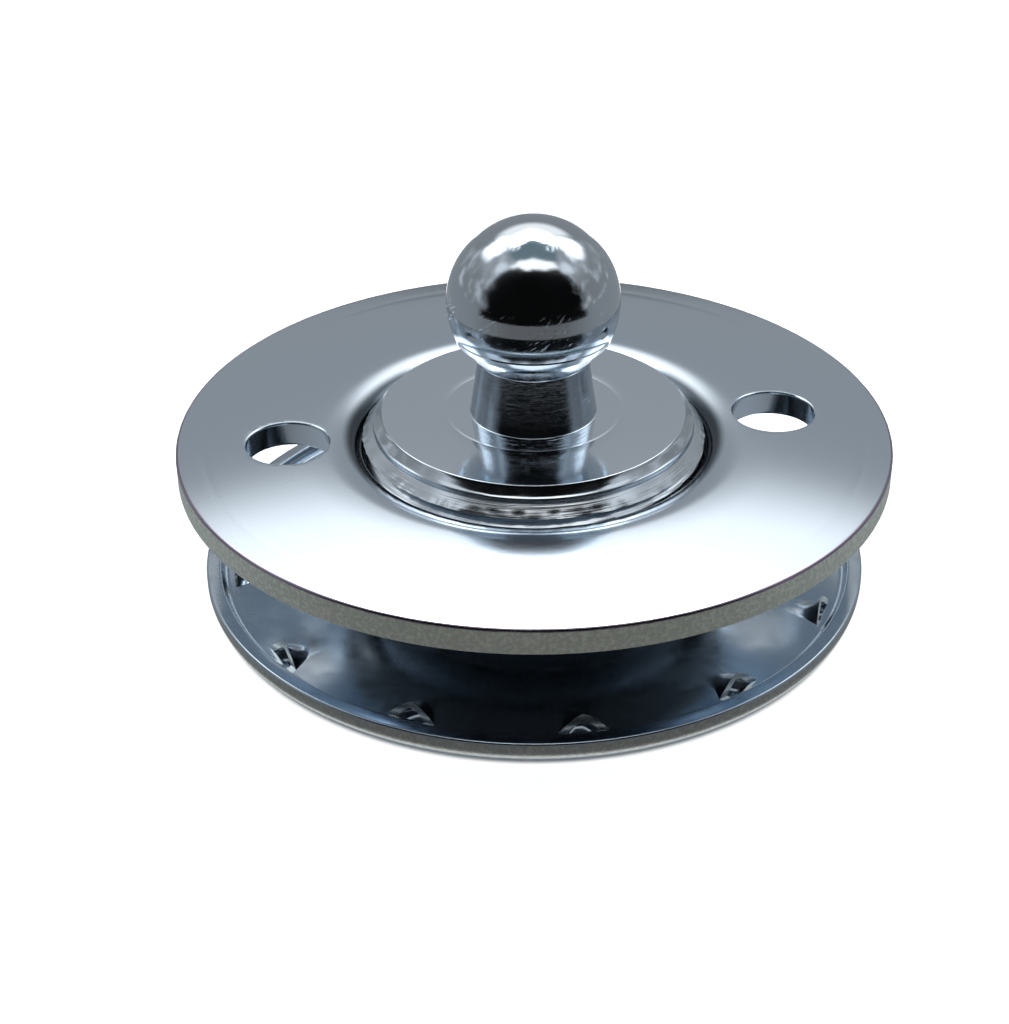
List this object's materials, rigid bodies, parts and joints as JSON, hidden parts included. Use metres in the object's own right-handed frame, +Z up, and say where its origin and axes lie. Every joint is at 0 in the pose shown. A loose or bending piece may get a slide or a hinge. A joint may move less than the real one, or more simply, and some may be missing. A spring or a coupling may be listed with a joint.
{
  "type": "snap fastener",
  "caption": "Ball stud snap fastener half: claw plate, threaded boss with a ball, and a screwed-on spanner plate that clamps cloth.",
  "frame": {"origin": "centre of the claw plate's flat underside, on the stud's axis", "axes": "+Z up along the stud towards the ball, X through the two spanner holes"},
  "size_m": [0.021, 0.021, 0.0114],
  "materials": {
    "claw_plate_plating": "bright plating on pressed sheet, dulled on the rim",
    "stud_plating": "bright plating on a turned part, fine turning marks",
    "spanner_plate_plating": "satin bright plating on pressed sheet, fine radial texture"
  },
  "bodies": {
    "base": {"claw_plate": "claw_plate_plating", "ball_stud": "stud_plating"},
    "nut": {"spanner_plate": "spanner_plate_plating"}
  },
  "joints": [
    {"name": "nut_travel", "type": "slide", "parent": "base", "child": "nut", "axis": [0, 0, 1], "range_m": [-0.0015, 0.00225]}
  ]
}
